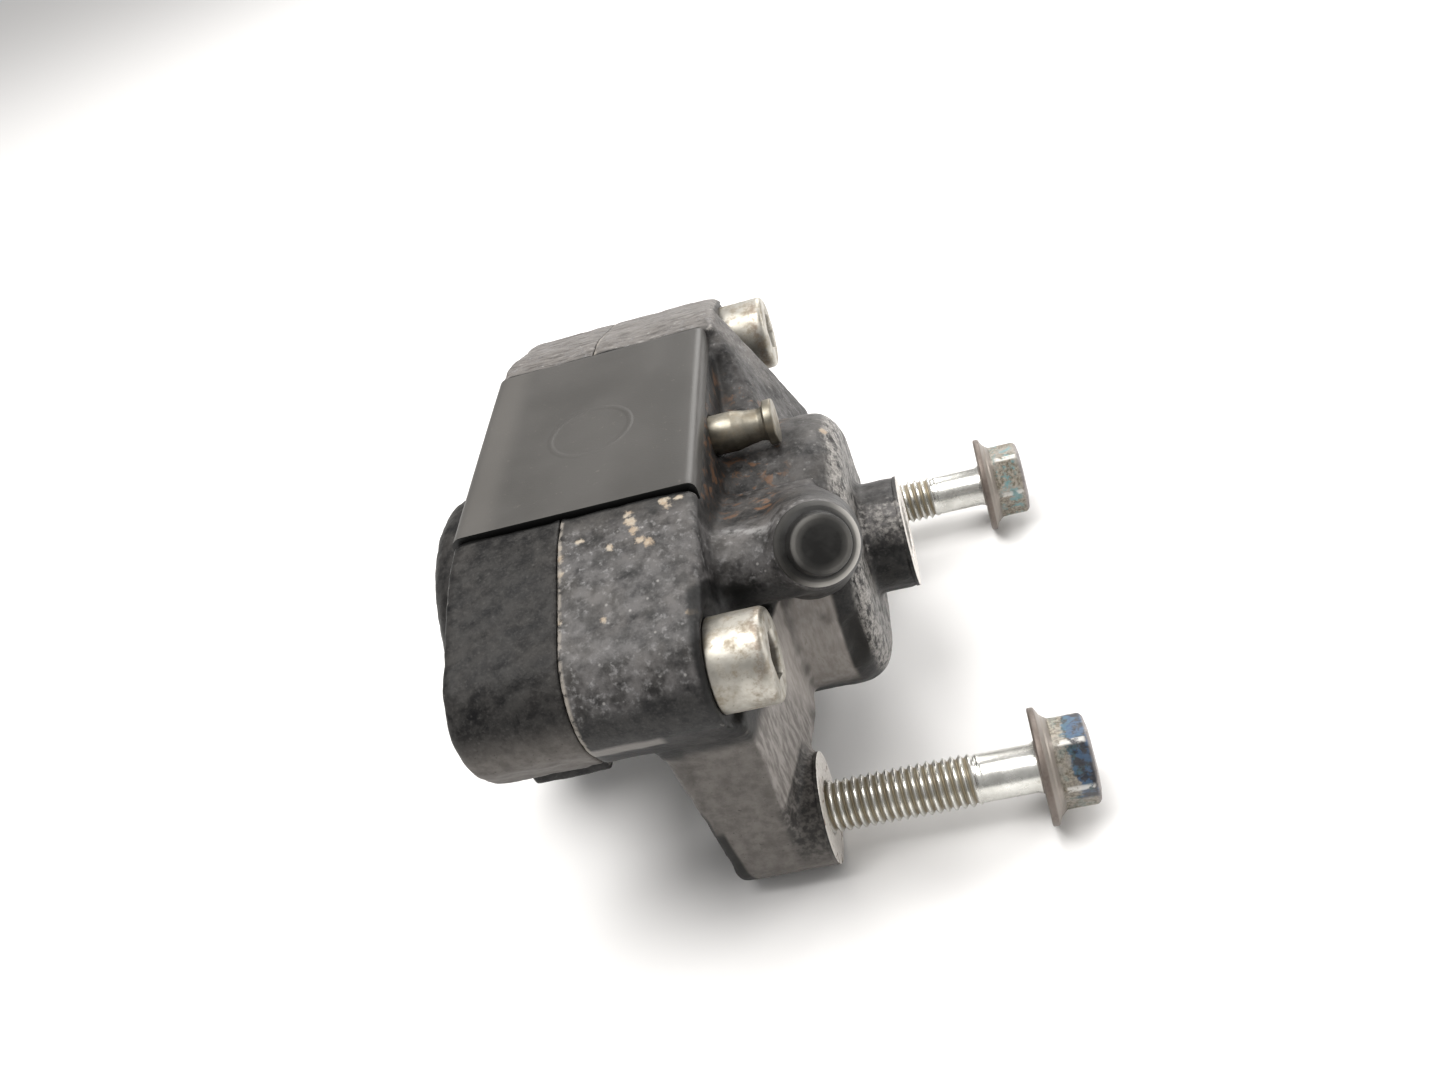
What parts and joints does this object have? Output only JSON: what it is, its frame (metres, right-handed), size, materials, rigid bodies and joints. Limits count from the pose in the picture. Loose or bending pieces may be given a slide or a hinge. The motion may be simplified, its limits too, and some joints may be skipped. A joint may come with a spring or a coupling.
{
  "type": "motorcycle brake caliper",
  "caption": "Opposed-piston motorcycle brake caliper in two bolted cast halves, with pads, pad pin, sprung pad cover, bleed screw, fluid port and lugs with flange bolts.",
  "frame": {"origin": "midpoint between the two lug holes, on the machined lug faces", "axes": "+X along the pistons and bolts towards the fluid port, +Y along the caliper from lug to lug, +Z away from the wheel axle"},
  "size_m": [0.0959, 0.1028, 0.0631],
  "materials": {
    "casting": "worn black paint on a cast surface, bare at the machined faces",
    "piston_steel": "ground and plated",
    "seal_rubber": "moulded",
    "backing_steel": "painted black, worn",
    "friction_lining": "pressed friction material",
    "worn_steel": "worn nickel plating with brown stains",
    "spring_steel": "satin",
    "cover_plastic": "satin black",
    "zinc_steel": "zinc plated, grimy",
    "cap_rubber": "matte rubber"
  },
  "bodies": {
    "caliper": {"outboard_half": "casting", "inboard_half": "casting", "outboard_pressure_seal": "seal_rubber", "inboard_pressure_seal": "seal_rubber", "outboard_dust_seal": "seal_rubber", "inboard_dust_seal": "seal_rubber", "crossover_o_ring": "seal_rubber", "pad_spring": "spring_steel", "bridge_bolt_near": "worn_steel", "bridge_bolt_far": "worn_steel"},
    "outboard_piston_body": {"outboard_piston": "piston_steel"},
    "inboard_piston_body": {"inboard_piston": "piston_steel"},
    "outboard_pad": {"outboard_pad_backing": "backing_steel", "outboard_pad_lining": "friction_lining"},
    "inboard_pad": {"inboard_pad_backing": "backing_steel", "inboard_pad_lining": "friction_lining"},
    "pin": {"pad_pin": "worn_steel", "pad_pin_spring_sleeve": "spring_steel"},
    "cover": {"pad_cover": "cover_plastic"},
    "bleeder": {"bleed_screw": "zinc_steel"},
    "dust_cap": {"bleed_cap": "cap_rubber"},
    "near_bolt": {"mounting_bolt_near": "zinc_steel"},
    "far_bolt": {"mounting_bolt_far": "zinc_steel"}
  },
  "joints": [
    {"name": "outboard_piston_slide", "type": "slide", "parent": "caliper", "child": "outboard_piston_body", "axis": [1, 0, 0], "range_m": [0, 0.002]},
    {"name": "inboard_piston_slide", "type": "slide", "parent": "caliper", "child": "inboard_piston_body", "axis": [-1, 0, 0], "range_m": [0, 0.002]},
    {"name": "outboard_pad_slide", "type": "slide", "parent": "caliper", "child": "outboard_pad", "axis": [1, 0, 0], "range_m": [0, 0.002]},
    {"name": "inboard_pad_slide", "type": "slide", "parent": "caliper", "child": "inboard_pad", "axis": [-1, 0, 0], "range_m": [0, 0.002]},
    {"name": "pad_pin_slide", "type": "slide", "parent": "caliper", "child": "pin", "axis": [1, 0, 0], "range_m": [0, 0.045]},
    {"name": "cover_lift", "type": "slide", "parent": "caliper", "child": "cover", "axis": [0, 0, 1], "range_m": [0, 0.03]},
    {"name": "bleed_screw_turn", "type": "hinge", "parent": "caliper", "child": "bleeder", "pos_m": [0.0088, -0.028, 0.0434], "axis": [0.1994, -0.7996, 0.5664], "range_deg": [0, 180]},
    {"name": "dust_cap_slide", "type": "slide", "parent": "bleeder", "child": "dust_cap", "axis": [0.1994, -0.7996, 0.5664], "range_m": [0, 0.012]},
    {"name": "near_bolt_travel", "type": "slide", "parent": "caliper", "child": "near_bolt", "axis": [1, 0, 0], "range_m": [-0.0066, 0.012]},
    {"name": "far_bolt_travel", "type": "slide", "parent": "caliper", "child": "far_bolt", "axis": [1, 0, 0], "range_m": [-0.0085, 0.012]}
  ],
  "couplings": [
    {"joint": "outboard_pad_slide", "follows": "outboard_piston_slide", "ratio": 1},
    {"joint": "inboard_pad_slide", "follows": "inboard_piston_slide", "ratio": 1}
  ]
}
